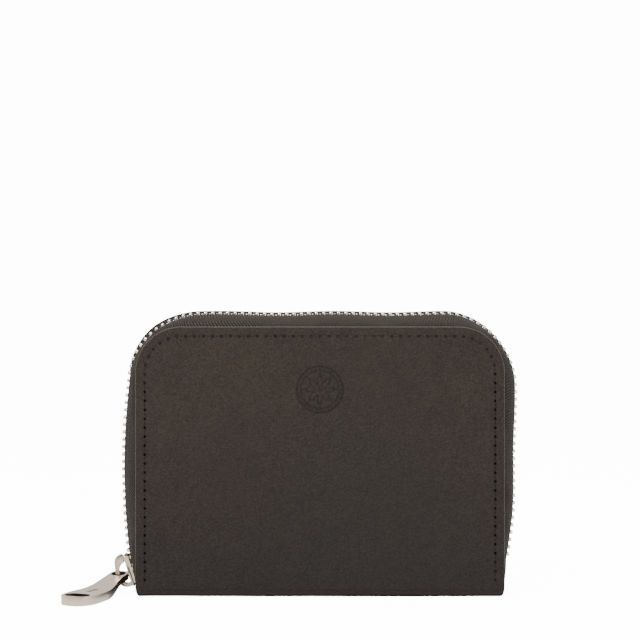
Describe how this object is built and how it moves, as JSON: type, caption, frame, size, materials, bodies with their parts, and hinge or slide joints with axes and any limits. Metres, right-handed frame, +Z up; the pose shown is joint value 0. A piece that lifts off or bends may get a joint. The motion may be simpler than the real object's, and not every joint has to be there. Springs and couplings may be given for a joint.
{
  "type": "coin purse",
  "caption": "Zip-round leather coin purse with a folding front panel, a middle coin pocket, card slots, and a metal zip whose slider carries a slotted pull.",
  "frame": {"origin": "middle of the spine's flat underside, on which the purse stands", "axes": "+X to the right seen from the front, with the closed end of the zip at -X; -Y towards the front panel; +Z up"},
  "size_m": [0.1568, 0.0428, 0.0988],
  "materials": {
    "leather": "satin smooth-grain leather, dark brown-grey",
    "inner_leather": "matt thin leather",
    "lining": "fine twill lining",
    "board": "bonded leather board",
    "zip_tape": "matt woven zip tape",
    "nickel": "polished warm nickel plate"
  },
  "bodies": {
    "back_half": {"back_panel": "leather", "spine": "leather", "back_stiffener": "board", "back_lining": "lining", "base_lining": "lining", "back_card_slot_upper": "inner_leather", "back_card_slot_lower": "inner_leather", "left_gusset": "inner_leather", "right_gusset": "inner_leather", "back_zip_tape": "zip_tape", "back_zip_chain": "nickel", "front_top_stop": "nickel", "back_top_stop": "nickel", "bottom_stop": "nickel"},
    "front_half": {"front_panel": "leather", "front_stiffener": "board", "front_lining": "lining", "front_card_slot_upper": "inner_leather", "front_card_slot_lower": "inner_leather", "front_zip_tape": "zip_tape", "front_zip_chain": "nickel"},
    "coin_pocket": {"coin_pocket_front": "inner_leather", "coin_pocket_back": "inner_leather", "coin_pocket_base": "inner_leather", "coin_pocket_side_left": "inner_leather", "coin_pocket_side_right": "inner_leather"},
    "slider": {"slider_body": "nickel"},
    "pull": {"pull_tab": "nickel"}
  },
  "joints": [
    {"name": "front_open", "type": "hinge", "parent": "back_half", "child": "front_half", "pos_m": [0, -0.0125, 0.00175], "axis": [1, 0, 0], "range_deg": [0, 40], "deforming": ["front_zip_tape", "back_zip_tape", "front_zip_chain", "back_zip_chain", "left_gusset", "right_gusset"]},
    {"name": "pocket_turn", "type": "hinge", "parent": "back_half", "child": "coin_pocket", "pos_m": [0, 0, 0.0024], "axis": [1, 0, 0], "range_deg": [0, 20]},
    {"name": "slider_run", "type": "hinge", "parent": "back_half", "child": "slider", "pos_m": [0.1813, 0, 0.0445], "axis": [0, 1, 0], "range_deg": [0, 13.8]},
    {"name": "pull_swivel", "type": "hinge", "parent": "slider", "child": "pull", "pos_m": [-0.07128, 0, 0.0053], "axis": [0, 0, -1], "range_deg": [0, 130]}
  ],
  "couplings": [
    {"joint": "pocket_turn", "follows": "front_open", "ratio": 0.5}
  ]
}
